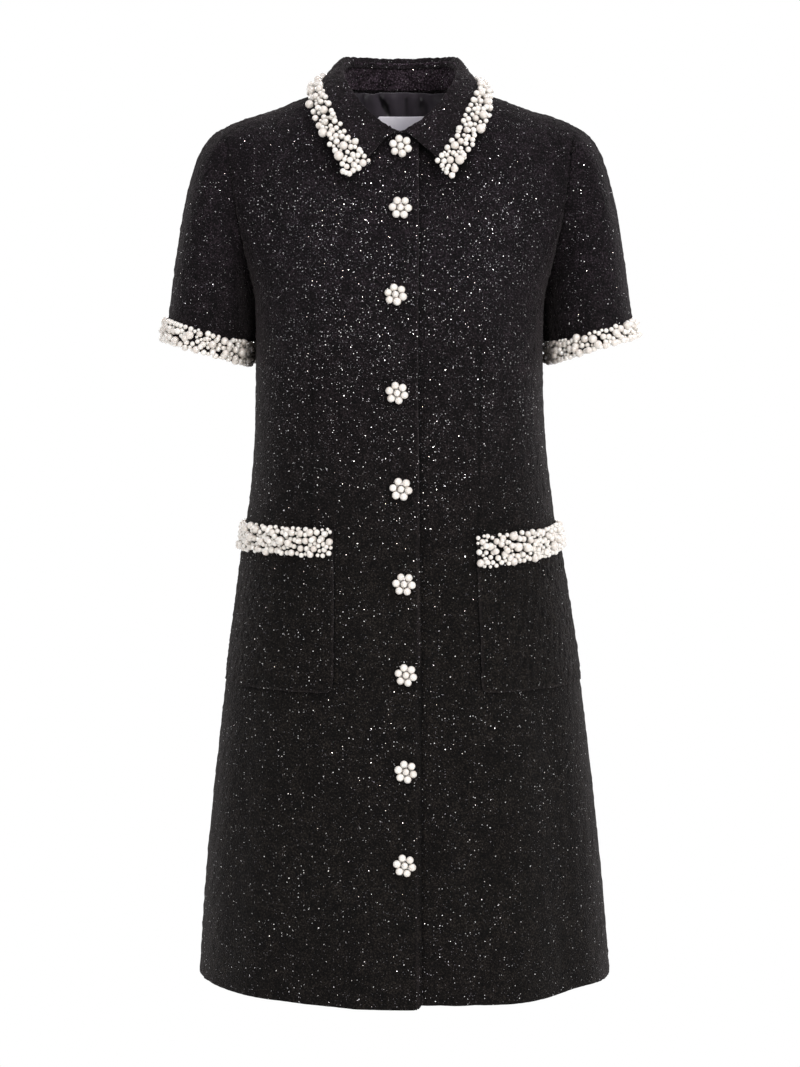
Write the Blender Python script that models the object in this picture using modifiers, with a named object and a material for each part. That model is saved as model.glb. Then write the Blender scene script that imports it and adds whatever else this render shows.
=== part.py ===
"""Short-sleeved shift dress with a pointed collar, patch pockets, pearl bands and nine flower buttons.

The dress is filled out as if worn. Every piece that a maker cuts and sews on is its own object.
The origin is the middle of the neck, level with the shoulders that carry the dress. The front faces -Y,
+Z is up, and the wearer's right side is at -X. Sizes are in millimetres and become metres in the meshes.
"""

import math

import bmesh
import bpy
from mathutils import Matrix, Vector

MM = 0.001
DRESS = "shift_dress"

# Cloth and seams
CLOTH = 2.0  # thickness of the tweed wall
SATIN = 1.0  # thickness of the lining and of the label
SEAM = 0.3  # space left between two pieces that are sewn together
SHOULDER_SEAM = 0.8  # the same on top of the shoulders, where the two walls lean towards each other
LINING_SPACE = 0.9  # between the back and its lining
LABEL_SPACE = 0.45  # between the lining and the label, and under a button
PEARLS = 5.5  # how far a pearl band stands off its cloth

# Neck and shoulders
NECK_HALF = 72.0  # half the width of the neck at the shoulder seam
NECK_MIDDLE = -6.0  # where the neck's widest place lies, front to back
NECK_REACH = 78.0  # from there to the centre front and to the centre back
NECK_TOP = -2.0  # height of the neckline at the shoulder seam
NECK_DROP_FRONT = 50.0
NECK_DROP_BACK = -1.0
NECK_CURVE = 1.6  # above 1 the front neckline falls later, and then faster
SHOULDER_END = Vector((183.0, 4.0, -45.0))
SHOULDER_HOLLOW = 0.9  # below 1 the seam falls a little faster near the neck

# Front opening
LAP = 18.0  # how far each front runs past the centre
LAP_SPACE = 3.2  # how far the left front lies behind the right front's face
LAP_RISE = 4.0  # how much higher the left front's hem is cut at its lap
HEM_CORNER = 7.0
HEM_RISES = (1, 1, 0.8, 0.6, 0.4, 0.2)  # shares of that rise, column by column from the lap

# Panels are divided into four columns inside the dart line, which meet the neckline an even turn apart, and from
# there to the seam at these shares of a quarter turn.
INNER_COLUMNS = 4
OUTER_SHARES = (0.14, 0.28, 0.42, 0.56, 0.70, 0.84, 0.95, 1.0)
BACK_FLAT = 2.4  # 2 is an ellipse, and more is squarer


def table(columns, *rows):
    """Rows of numbers as dictionaries under the named columns."""
    names = columns.split()
    return [dict(zip(names, row)) for row in rows]


# Sections across the chest, from the shoulders to the underarm. Depths are at the centre line. An edge is
# where the panel meets the sleeve, its side is how far forward or back that is, and turn is how soon the
# panel rounds away before it.
CHEST = table(
    "level front back dart flat front_edge front_side back_edge back_side turn",
    (-75, -91, 88, 71, 2.3, 175.0, -36, 180, 43, 0.95),
    (-112, -101, 99, 70, 2.4, 168.5, -45, 175, 53, 0.88),
    (-143, -110, 105, 69, 2.5, 163.0, -44, 170, 52, 0.77),
    (-170, -117, 108, 68, 2.6, 157.5, -35, 163, 42, 0.65),
    (-195, -124, 109, 67, 2.7, 151.5, -18, 155, 24, 0.53),
)

# Sections below the underarm, each one closed round the body. Lean is how far its middle hangs to the left.
BELOW = table(
    "level front back dart flat half lean",
    (-215, -129, 108, 67, 2.8, 147.0, -0.5),
    (-265, -134, 105, 67, 2.9, 146.0, -0.5),
    (-300, -132, 102, 67, 2.7, 146.6, -1.0),
    (-345, -128, 99, 67, 2.5, 147.8, -0.3),
    (-395, -126, 100, 67, 2.4, 151.5, 0.5),
    (-443, -127, 105, 67, 2.3, 158.3, 0.8),
    (-515, -133, 116, 68, 2.3, 169.3, 2.4),
    (-605, -141, 129, 70, 2.3, 182.3, 3.2),
    (-710, -150, 141, 74, 2.2, 194.6, 3.1),
    (-820, -160, 152, 78, 2.05, 206.0, 3.4),
    (-915, -170, 163, 80, 1.9, 212.7, 4.0),
)
UNDERARM = BELOW[0]["level"]
HEM = BELOW[-1]["level"]
POCKET_TOP = -443
POCKET_BAND = -471  # lower edge of the pearl band
POCKET_BOTTOM = -605
POCKET_END = 0.85  # share of the last column that the pocket covers, before the side seam
LEVELS_BELOW = (-240, -270, -305, -350, -397, POCKET_TOP, POCKET_BAND, -515, -560, POCKET_BOTTOM,
                -655, -710, -765, -820, -870, HEM)

# How a panel leaves its top edge, column by column: out to the side, forward on a front or backward on the
# back, and down. It drops evenly where bend is 1, and goes over a rounded crest where bend is 2.
CREST = table(
    "column out forward backward drop bend",
    (0, 0.0, 5, 5, 15.0, 1.0),
    (1, 2.0, 8, 8, 14.0, 1.0),
    (2, 4.0, 13, 15, 12.5, 1.1),
    (3, 4.5, 20, 25, 11.5, 1.4),
    (4, 3.0, 27, 42, 9.5, 1.9),
    (5, 1.5, 27, 40, 8.0, 2.0),
    (8, 0.0, 26, 33, 6.5, 2.0),
    (11, -1.8, 25, 27, 7.6, 1.7),
    (12, -2.0, 25, 25, 8.0, 1.6),
)
BROW = 0.22  # share of that step at which the panel has a row of its own
CREST_PULL = 1.5  # how strongly the crest's direction carries on below it

# Sleeves, by the angle round the arm: 0 on top, 90 in front or behind, 180 under the arm. Out, along and
# down give the direction in which the sleeve leaves the armhole. Reach and lift are how far it keeps that
# direction and how far it hangs straight above the band.
SLEEVE = table(
    "angle out along down reach lift",
    (0, 1.00, 0.00, 0.05, 33, 75),
    (45, 0.92, 0.35, 0.35, 34, 62),
    (90, 0.80, 0.38, 0.50, 26, 44),
    (135, 0.50, 0.25, 0.85, 16, 26),
    (180, 0.30, 0.00, 1.00, 10, 14),
)
SLEEVE_ROWS = 6
CUFF_MIDDLE = Vector((198.5, -6.0, -273.5))
CUFF_HALF_WIDTH = 44.0
CUFF_HALF_DEPTH = 57.0
CUFF_SLOPE = math.radians(16.0)  # the sleeve's hem falls towards the body
CUFF_BAND = 25.0
ARM_LEAN = math.radians(7.5)

# Collar, by the angle round the neck: 0 at the centre front, 180 at the centre back. The roll is its upper
# fold line, and the edge is the outer edge of the leaf. The last row only levels the curve at the centre back.
COLLAR = table(
    "turn roll_x roll_y roll_z edge_x edge_y edge_z",
    (0, 3, -88.5, -50, 53, -103, -97),
    (20, 25, -84, -35, 64, -97, -73),
    (40, 41, -71, -17, 75, -84, -52),
    (60, 53, -49, 2, 84, -63, -31),
    (90, 60, -12, 22, 90, -16, -5.5),
    (110, 57, 15, 30, 80, 26, -3.5),
    (130, 48, 38, 32, 66, 57, -4),
    (180, 0, 62, 32, 0, 84, -10),
    (230, -48, 38, 32, -66, 57, -4),
)
COLLAR_STEPS = 16  # columns from the centre front to the centre back
COLLAR_BAND = 19.5
STAND_FIRST_STEP = 1
STAND_BELOW_ROLL = 5.4
ROLL_WIDTH = 6.0
ROLL_FALL = (0.8, 1.0)  # how far the fold's inner and outer shoulders lie below its top
LEAF_BULGE = 2.5
LEAF_ROWS = (0.35, 0.7, 1.0)  # shares of the way from the fold to the pearl band, where the leaf has rows

# Label on the lining
LABEL_TOP = -28
LABEL_HEIGHT = 34.0
LABEL_HALF = 30.0
LINING_HEM_ROW = 7

# Buttons, from the neck to the hem, with how far each petal ring is turned
BUTTONS = table(
    "level side turn",
    (-66, 1, 12),
    (-126, 1, 0),
    (-212, -4, 8),
    (-309, -3, -6),
    (-403, 1, 5),
    (-497, 3, -4),
    (-589, 5, 10),
    (-684, 4, 0),
    (-778, 3, 6),
)
BUTTON_RADIUS = 11.4
BUTTON_NOTCH = 8.6  # radius between two petals
BUTTON_HEIGHT = 6.5
BUTTON_ROUND = 1.6
PETALS = 6

RIGHT, LEFT = -1, 1  # the wearer's, as the sign of X

MATERIALS = {
    "tweed": ((0.012, 0.011, 0.013), 0.85),
    "satin": ((0.030, 0.028, 0.035), 0.35),
    "label": ((0.72, 0.70, 0.78), 0.55),
    "pearl": ((0.80, 0.76, 0.68), 0.22),
}


def read(rows, key, value):
    """The row at this value of the key column, on a smooth curve through the rows given."""
    keys = [row[key] for row in rows]
    span = next((i for i in range(len(keys) - 2) if (value - keys[i + 1]) * (keys[i + 1] - keys[i]) <= 0),
                len(keys) - 2)
    before, after = rows[span], rows[span + 1]
    width = after[key] - before[key]
    t = (value - before[key]) / width

    def slope(i, name):
        low, high = rows[max(i - 1, 0)], rows[min(i + 1, len(rows) - 1)]
        return (high[name] - low[name]) / (high[key] - low[key])

    result = {}
    for name in before:
        a, b = before[name], after[name]
        result[name] = (a * (1 + 2 * t) * (1 - t) ** 2 + b * t * t * (3 - 2 * t)
                        + width * (slope(span, name) * t * (1 - t) ** 2 - slope(span + 1, name) * t * t * (1 - t)))
    return result


def bezier(a, b, c, d, t):
    """A point on the curve from a to d that leaves towards b and arrives from c."""
    return a * (1 - t) ** 3 + b * 3 * t * (1 - t) ** 2 + c * 3 * t * t * (1 - t) + d * t**3


# The body of the dress


def column_offsets(dart, edge):
    """Distances of a panel's columns from its centre line, out to its edge."""
    inner = [dart * math.sin(math.pi / 2 * k / INNER_COLUMNS) for k in range(INNER_COLUMNS + 1)]
    return inner + [dart + (edge - dart) * math.sin(math.pi / 2 * share) for share in OUTER_SHARES]


def neckline(offset, face):
    """The neckline at this distance from the centre line. Face is -1 in front and 1 behind."""
    across = min(offset / NECK_HALF, 1.0)
    along = math.sqrt(1 - across * across)
    drop = NECK_DROP_FRONT * along**NECK_CURVE if face < 0 else NECK_DROP_BACK * along
    return Vector((offset, NECK_MIDDLE + face * NECK_REACH * along, NECK_TOP - drop))


def top_edge(offset, face):
    """The neckline as far as the shoulder seam, and then that seam."""
    if offset < NECK_HALF - SEAM:
        return neckline(offset, face)
    along = (offset - NECK_HALF) / (SHOULDER_END.x - NECK_HALF)
    level = NECK_TOP + (SHOULDER_END.z - NECK_TOP) * along**SHOULDER_HOLLOW
    middle = NECK_MIDDLE + (SHOULDER_END.y - NECK_MIDDLE) * along
    return Vector((offset, middle + face * SHOULDER_SEAM / 2, level))


def section(level, face, side):
    """One row of a panel: its distances from the centre line and its depths, as points."""
    name = "front" if face < 0 else "back"
    if level > UNDERARM:
        row = read(CHEST, "level", level)
        edge, seam, turn, lean = row[name + "_edge"], row[name + "_side"], row["turn"], 0.0
        flat = row["flat"] if face < 0 else BACK_FLAT
    else:
        row = read(BELOW, "level", level)
        flat = row["flat"] if face < 0 else BACK_FLAT
        edge, seam, turn, lean = row["half"], face * SEAM / 2, 1 / flat, row["lean"] * side
    points = []
    for offset in column_offsets(row["dart"], edge):
        fullness = max(1 - (offset / edge) ** flat, 0.0) ** turn
        points.append(Vector((offset + lean, seam + (row[name] - seam) * fullness, level)))
    return points


def half_panel(face, side):
    """Rows of points from the top edge to the hem, and in each row from the centre line to the edge."""
    top = [top_edge(offset, face) for offset in column_offsets(NECK_HALF, SHOULDER_END.x)]
    brow, crest = [], []
    for column, point in enumerate(top):
        step = read(CREST, "column", column)
        away = -step["forward"] if face < 0 else step["backward"]
        for row, share in ((brow, BROW), (crest, 1.0)):
            drop = step["drop"] * share ** step["bend"]
            row.append(point + Vector((step["out"] * share, away * share, -drop)))
    chest = [section(row["level"], face, side) for row in CHEST]
    between = []
    for a, b, c, d in zip(top, crest, chest[0], chest[1]):
        between.append((b + c) / 2 + ((b - a) * CREST_PULL - (d - c)) / 8)
    below = [section(level, face, side) for level in (UNDERARM, *LEVELS_BELOW)]
    rows = [top, brow, crest, between, *chest, *below]
    return [[Vector((side * p.x, p.y, p.z)) for p in row] for row in rows]


def front_panel(side):
    """A front, from its lapped edge past the centre line out to the seam."""
    rows = half_panel(-1, side)
    for row in rows:
        across = row[1] - row[0]
        lap = row[0].lerp(row[1], LAP / abs(across.x))
        row.insert(0, Vector((row[0].x - side * LAP, lap.y, lap.z)))
        if side == LEFT:
            for point in row[:3]:
                point.y += LAP_SPACE
    if side == LEFT:
        for share, point in zip(HEM_RISES, rows[-1]):
            point.z += share * LAP_RISE
    return rows


def back_panel():
    right, left = half_panel(1, RIGHT), half_panel(1, LEFT)
    return [list(reversed(a))[:-1] + b for a, b in zip(right, left)]


# Sheets and their walls


def normals(rows, closed=False):
    """The direction out of a sheet at each of its points."""
    last_row, columns = len(rows) - 1, len(rows[0])
    found = []
    for i, row in enumerate(rows):
        line = []
        for j in range(columns):
            before = row[(j - 1) % columns if closed else max(j - 1, 0)]
            after = row[(j + 1) % columns if closed else min(j + 1, columns - 1)]
            down = rows[min(i + 1, last_row)][j] - rows[max(i - 1, 0)][j]
            line.append(down.cross(after - before).normalized())
        found.append(line)
    return found


def moved_out(rows, distance, closed=False):
    """The same sheet, moved along its own directions."""
    return [[p + n * distance for p, n in zip(*pair)] for pair in zip(rows, normals(rows, closed))]


def part_of(rows, first_row, last_row, first_column, last_column):
    return [list(row[first_column:last_column + 1]) for row in rows[first_row:last_row + 1]]


def add_sheet(name, rows, thickness, slot, closed=False, outwards=False, corner=None):
    """An object whose outer face is this sheet, with a wall. Outwards puts the wall on its other side.
    A corner is (column, size), to round the sheet's lowest row there."""
    mesh = bmesh.new()
    points = [[mesh.verts.new(p * MM) for p in row] for row in rows]
    for upper, lower in zip(points, points[1:]):
        pairs = list(zip(upper, lower))
        for (a, b), (c, d) in zip(pairs, pairs[1:] + pairs[:1] if closed else pairs[1:]):
            mesh.faces.new((a, b, d, c))
    if corner:
        bmesh.ops.bevel(mesh, geom=[points[-1][corner[0]]], affect="VERTICES", offset=corner[1] * MM,
                        segments=2, profile=0.5, material=-1)
    shell = add_object(name, mesh, slot)
    wall = shell.modifiers.new("wall", "SOLIDIFY")
    wall.thickness = thickness * MM
    wall.offset = 1 if outwards else -1
    return shell


def add_object(name, mesh, slot):
    data = bpy.data.meshes.new(name)
    mesh.to_mesh(data)
    mesh.free()
    data.shade_smooth()
    data.set_sharp_from_angle(angle=math.radians(40))
    data.materials.append(material(slot))
    piece = bpy.data.objects.new(name, data)
    bpy.data.collections[DRESS].objects.link(piece)
    return piece


def material(slot):
    found = bpy.data.materials.get(slot)
    if found:
        return found
    color, roughness = MATERIALS[slot]
    found = bpy.data.materials.new(slot)
    found.use_nodes = True
    shader = found.node_tree.nodes["Principled BSDF"]
    shader.inputs["Base Color"].default_value = (*color, 1)
    shader.inputs["Roughness"].default_value = roughness
    shader.inputs["Metallic"].default_value = 0
    return found


# Sleeves


def armhole(front, back):
    """The seam round the armhole, from the shoulder down the front and up the back."""
    count = 1 + next(i for i, row in enumerate(front) if abs(row[-1].z - UNDERARM) < 0.01)
    down = [row[-1].copy() for row in front[:count]]
    up = [row[-1].copy() for row in back[:count]]
    for end in (0, -1):
        down[end].y = (down[end].y + up[end].y) / 2
    return down + up[-2:0:-1]


def sleeve(front, back, side):
    """Rows from the armhole to the sleeve's hem, each one closed round the arm."""
    seam = armhole(front, back)
    half = len(seam) // 2
    rows = [[] for _ in range(SLEEVE_ROWS + 2)]
    hang = Vector((-math.sin(ARM_LEAN), 0, math.cos(ARM_LEAN)))
    across = Vector((math.cos(CUFF_SLOPE), 0, math.sin(CUFF_SLOPE)))
    for step, start in enumerate(seam):
        turn = 180.0 * step / half
        face = -1 if turn <= 180 else 1
        row = read(SLEEVE, "angle", min(turn, 360 - turn))
        way = Vector((row["out"], face * row["along"], -row["down"])).normalized()
        angle = math.radians(turn)
        hem = (CUFF_MIDDLE + across * CUFF_HALF_WIDTH * math.cos(angle)
               - Vector((0, CUFF_HALF_DEPTH * math.sin(angle), 0)))
        band = hem + hang * CUFF_BAND
        top = Vector((abs(start.x) + SEAM, start.y, start.z))
        for i in range(SLEEVE_ROWS + 1):
            t = i / SLEEVE_ROWS
            rows[i].append(bezier(top, top + way * row["reach"], band + hang * row["lift"], band, t))
        rows[-1].append(hem)
    return [[Vector((side * p.x, p.y, p.z)) for p in row] for row in rows]


# Collar


def neck_point(turn):
    """The panels' neckline at this angle round the neck, on the +X side. It is straight between their columns."""
    step = 90 / INNER_COLUMNS
    ends = [step * math.floor(turn / step + k) for k in (0, 1)]
    before, after = [neckline(NECK_HALF * math.sin(math.radians(end)), -1 if turn < 90 else 1) for end in ends]
    return before.lerp(after, turn / step % 1)


def round_neck(row_at, first_step):
    """Rows of a collar piece, from the wearer's left front round the back to the right front."""
    left = [row_at(180 * step / COLLAR_STEPS) for step in range(first_step, COLLAR_STEPS + 1)]
    right = [[Vector((-p.x, p.y, p.z)) for p in column] for column in left]
    columns = left + right[-2::-1]
    return [list(row) for row in zip(*columns)]


def stand_column(turn):
    row = read(COLLAR, "turn", turn)
    foot = neck_point(turn) + Vector((0, 0, SEAM * 2))
    head = Vector((row["roll_x"], row["roll_y"], row["roll_z"] - STAND_BELOW_ROLL))
    return [head, foot.lerp(head, 0.5), foot]


def leaf_column(turn):
    """From the roll line's neck side over the fold and down to the outer edge."""
    row = read(COLLAR, "turn", turn)
    roll = Vector((row["roll_x"], row["roll_y"], row["roll_z"]))
    edge = Vector((row["edge_x"], row["edge_y"], row["edge_z"]))
    out = (edge - roll).normalized()
    level_out = Vector((out.x, out.y, 0)).normalized()
    inner = roll - level_out * ROLL_WIDTH / 2 - Vector((0, 0, ROLL_FALL[0]))
    shoulder = roll + level_out * ROLL_WIDTH / 2 - Vector((0, 0, ROLL_FALL[1]))
    length = (edge - shoulder).length
    band = 1 - COLLAR_BAND / length
    column = [inner, roll, shoulder]
    for share in (*(band * step for step in LEAF_ROWS), 1.0):
        lift = (level_out + Vector((0, 0, 1))).normalized() * LEAF_BULGE * math.sin(math.pi * share)
        column.append(shoulder.lerp(edge, share) + lift)
    return column


def label_sheet(lining):
    """The label's rows, on the inner face of the lining about the centre back."""
    middle = len(lining[0]) // 2
    bends = [row[middle].z for row in lining if 0 < LABEL_TOP - row[middle].z < LABEL_HEIGHT]
    rows = []
    for level in (LABEL_TOP, *bends, LABEL_TOP - LABEL_HEIGHT):
        line = at_level(lining, level)
        reach = LABEL_HALF / abs(line[middle + 1].x) - 1
        inner = line[middle - 1:middle + 2]
        ends = [line[middle + k].lerp(line[middle + 2 * k], reach * abs(line[middle + k].x)
                                      / abs(line[middle + 2 * k].x - line[middle + k].x)) for k in (-1, 1)]
        rows.append([ends[0], *inner, ends[1]])
    return rows


# Buttons


def at_level(rows, level):
    """A line across a panel at this height, read at its centre column."""
    middle = len(rows[0]) // 2
    lower = next(i for i, row in enumerate(rows) if row[middle].z <= level)
    upper = lower - 1
    share = (rows[upper][middle].z - level) / (rows[upper][middle].z - rows[lower][middle].z)
    return [a.lerp(b, share) for a, b in zip(rows[upper], rows[lower])]


def add_button(name, face, turn):
    """A flower plate of six petals, its back on the cloth and its axis along the cloth's direction."""
    mesh = bmesh.new()
    count = 4 * PETALS
    circle = bmesh.ops.create_circle(mesh, cap_ends=True, segments=count, radius=BUTTON_RADIUS * MM)
    for i, vert in enumerate(circle["verts"]):
        if i % 4 == 0:
            vert.co *= BUTTON_NOTCH / BUTTON_RADIUS
    plate = bmesh.ops.extrude_face_region(mesh, geom=list(mesh.faces))
    raised = [v for v in plate["geom"] if isinstance(v, bmesh.types.BMVert)]
    bmesh.ops.translate(mesh, verts=raised, vec=(0, 0, BUTTON_HEIGHT * MM))
    rim = [e for e in mesh.edges if all(v in raised for v in e.verts)]
    bmesh.ops.bevel(mesh, geom=rim, affect="EDGES", offset=BUTTON_ROUND * MM, segments=1, profile=0.5,
                    material=-1)
    bmesh.ops.recalc_face_normals(mesh, faces=list(mesh.faces))
    button = add_object(name, mesh, "pearl")
    point, direction = face
    button.matrix_world = (Matrix.Translation(point * MM) @ direction.to_track_quat("Z", "Y").to_matrix().to_4x4()
                           @ Matrix.Rotation(math.radians(turn), 4, "Z"))
    return button


def on_front(rows, level, x):
    """The place on the lapped front at this height and distance from the middle, and the direction out."""
    lower = next(i for i, row in enumerate(rows) if row[1].z <= level)
    upper = lower - 1
    share = (rows[upper][1].z - level) / (rows[upper][1].z - rows[lower][1].z)
    line = [a.lerp(b, share) for a, b in zip(rows[upper], rows[lower])]
    right = next(i for i, point in enumerate(line) if point.x <= x)
    point = line[right].lerp(line[right - 1], (x - line[right].x) / (line[right - 1].x - line[right].x))
    down = rows[lower][1] - rows[upper][1]
    direction = Vector((0, down.z, -down.y)).normalized()
    return Vector((x, min(point.y, line[1].y), point.z)), direction


def build():
    for old in list(bpy.data.objects):
        bpy.data.objects.remove(old)
    bpy.context.scene.collection.children.link(bpy.data.collections.new(DRESS))

    fronts = {side: front_panel(side) for side in (RIGHT, LEFT)}
    back = back_panel()
    right_back = [row[:len(row) // 2 + 1][::-1] for row in back]
    left_back = [row[len(row) // 2:] for row in back]
    row_of = {round(row[1].z): i for i, row in enumerate(fronts[RIGHT])}

    for side, name in ((RIGHT, "right"), (LEFT, "left")):
        # Seen from outside, a sheet's columns run from the viewer's left to the right.
        order = -1 if side == RIGHT else 1
        front = [row[::order] for row in fronts[side]]
        lap_column = len(front[0]) - 1 if side == RIGHT else 0
        add_sheet("front_" + name, front, CLOTH, "tweed", corner=(lap_column, HEM_CORNER))

        pocket = part_of(fronts[side], row_of[POCKET_TOP], row_of[POCKET_BOTTOM], 1 + INNER_COLUMNS,
                         1 + INNER_COLUMNS + len(OUTER_SHARES))
        for row in pocket:
            row[-1] = row[-2].lerp(row[-1], POCKET_END)
        pocket = [row[::order] for row in pocket]
        inner_column = len(pocket[0]) - 1 if side == RIGHT else 0
        pocket = moved_out(pocket, SEAM + CLOTH)
        add_sheet("pocket_" + name, pocket, CLOTH, "tweed", corner=(inner_column, HEM_CORNER))
        band = moved_out(part_of(pocket, 0, 1, 0, len(pocket[0]) - 1), SEAM)
        add_sheet("pocket_trim_" + name, band, PEARLS, "pearl", outwards=True)

        arm = sleeve(fronts[side], right_back if side == RIGHT else left_back, side)
        arm = [row[::-order] for row in arm]
        add_sheet("sleeve_" + name, arm, CLOTH, "tweed", closed=True)
        cuff = moved_out(arm[-2:], SEAM, closed=True)
        add_sheet("cuff_trim_" + name, cuff, PEARLS, "pearl", closed=True, outwards=True)

    back = [row[::-1] for row in back]
    add_sheet("back", back, CLOTH, "tweed")
    lining = moved_out(part_of(back, 0, LINING_HEM_ROW, 1, len(back[0]) - 2), -CLOTH - LINING_SPACE)
    add_sheet("back_lining", lining, SATIN, "satin")

    label = label_sheet(moved_out(lining, -SATIN - LABEL_SPACE))
    add_sheet("label", label, SATIN, "label")

    add_sheet("collar_stand", round_neck(stand_column, STAND_FIRST_STEP), CLOTH, "tweed")
    leaf = round_neck(leaf_column, 0)
    add_sheet("collar_leaf", leaf, CLOTH, "tweed")
    add_sheet("collar_trim", moved_out(leaf[-2:], SEAM), PEARLS, "pearl", outwards=True)

    for number, row in enumerate(BUTTONS, start=1):
        place, direction = on_front(fronts[RIGHT], row["level"], row["side"])
        add_button(f"button_{number}", (place + direction * LABEL_SPACE, direction), row["turn"])


build()
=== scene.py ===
import math
import random

import bmesh
import bpy
import numpy as np
from mathutils import Matrix, Vector
from mathutils.bvhtree import BVHTree
from mathutils.kdtree import KDTree


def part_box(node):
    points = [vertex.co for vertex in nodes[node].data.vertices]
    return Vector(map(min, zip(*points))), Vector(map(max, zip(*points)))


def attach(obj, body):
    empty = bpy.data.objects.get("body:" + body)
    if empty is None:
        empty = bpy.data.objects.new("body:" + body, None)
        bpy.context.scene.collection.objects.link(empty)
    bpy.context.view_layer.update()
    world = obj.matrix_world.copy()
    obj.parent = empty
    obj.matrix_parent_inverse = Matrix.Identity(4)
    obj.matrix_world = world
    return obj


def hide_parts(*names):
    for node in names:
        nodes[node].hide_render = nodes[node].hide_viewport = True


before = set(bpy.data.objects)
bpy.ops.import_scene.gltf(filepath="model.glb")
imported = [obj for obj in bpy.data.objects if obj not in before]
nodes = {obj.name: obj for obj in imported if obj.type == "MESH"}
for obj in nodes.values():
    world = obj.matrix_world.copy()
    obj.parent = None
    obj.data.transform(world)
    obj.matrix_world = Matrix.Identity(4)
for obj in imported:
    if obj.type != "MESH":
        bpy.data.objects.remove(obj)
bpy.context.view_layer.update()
mm = 0.001

# Small helpers.


def hexColor(code):  # sRGB hex to the linear colour that shaders take
    parts = [int(code[i:i + 2], 16) / 255 for i in (1, 3, 5)]
    linear = [c / 12.92 if c <= 0.04045 else ((c + 0.055) / 1.055) ** 2.4 for c in parts]
    return (*linear, 1.0)


def feed(node, inputs):  # values, hex colours or other nodes' outputs
    for key, value in inputs.items():
        if isinstance(value, bpy.types.NodeSocket):
            node.id_data.links.new(value, node.inputs[key])
        else:
            node.inputs[key].default_value = hexColor(value) if isinstance(value, str) else value


def addNode(tree, kind, inputs=None, **settings):
    node = tree.nodes.new("ShaderNode" + kind)
    for name, value in settings.items():
        setattr(node, name, value)
    feed(node, inputs or {})
    return node


def mathNode(tree, operation, *values, kind="Math"):
    return addNode(tree, kind, dict(enumerate(values)), operation=operation).outputs[0]


def spanned(tree, value, low, high, start=0.0, end=1.0):  # low to high becomes start to end
    span = {"Value": value, "From Min": low, "From Max": high, "To Min": start, "To Max": end}
    return addNode(tree, "MapRange", span).outputs[0]


def mixed(tree, share, one, other, **settings):  # the second colour by its share
    return addNode(tree, "Mix", {0: share, 6: one, 7: other}, data_type="RGBA", **settings).outputs[2]


def noisy(tree, spot, size, **inputs):  # noise of this size in mm
    return addNode(tree, "TexNoise", {"Vector": spot, "Scale": 1000 / size, **inputs}).outputs["Fac"]


def toned(tree, value, dark, light, mid=None):
    ramp = addNode(tree, "ValToRGB", {"Fac": value})
    stops = ramp.color_ramp.elements
    stops[0].color, stops[1].color = hexColor(dark), hexColor(light)
    if mid:
        stops.new(0.5).color = hexColor(mid)
    return ramp.outputs["Color"]


def ribbed(tree, spot, spacing, strength, height, **inputs):  # ribs, in mm
    inputs |= {"Vector": spot, "Scale": 1000 / spacing / 20}
    wave = addNode(tree, "TexWave", inputs, wave_type="BANDS", bands_direction="Z")
    bump = {"Height": wave.outputs["Fac"], "Strength": strength, "Distance": height * mm}
    return addNode(tree, "Bump", bump).outputs["Normal"]


def newMaterial(name):
    material = bpy.data.materials.new(name)
    material.use_nodes = True
    tree = material.node_tree
    return material, tree, tree.nodes["Principled BSDF"], addNode(tree, "TexCoord").outputs["Object"]


def placeObject(name, data):
    made = bpy.data.objects.new(name, data)
    bpy.context.scene.collection.objects.link(made)
    return made


def newObject(name, mesh, *materials):  # a bmesh becomes a smooth object at the origin
    data = bpy.data.meshes.new(name)
    mesh.to_mesh(data)
    mesh.free()
    for material in materials:
        data.materials.append(material)
    data.shade_smooth()
    return placeObject(name, data)


def applyModifiers(piece):  # the mesh as its modifiers leave it
    graph = bpy.context.evaluated_depsgraph_get()
    done = bpy.data.meshes.new_from_object(piece.evaluated_get(graph))
    old = piece.data
    piece.modifiers.clear()
    piece.data = done
    bpy.data.meshes.remove(old)


def pointsOf(mesh):
    found = np.empty(len(mesh.vertices) * 3)
    mesh.vertices.foreach_get("co", found)
    return found.reshape(-1, 3)


def setPoints(mesh, points):
    mesh.vertices.foreach_set("co", points.astype(np.float32).ravel())
    mesh.update()


def normalsOf(mesh):
    return np.array([v.normal for v in mesh.vertices])


def bell(distance, width):  # 1 at no distance, nearly 0 two widths away
    return np.exp(-(distance / width) ** 2)


def rising(value, start, end):  # 0 up to start, 1 from end on
    return np.clip((value - start) / (end - start), 0, 1)


def pointTree(points):
    tree = KDTree(len(points))
    for k, point in enumerate(points):
        tree.insert(point, k)
    tree.balance()
    return tree


def frontHit(tree, x, z):  # where a line from the front meets it, in metres
    return tree.ray_cast(Vector((x, -0.5, z)), Vector((0, 1, 0)))


def finishPiece(piece, node):
    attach(piece, "root")
    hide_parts(node)


# Materials.


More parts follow.
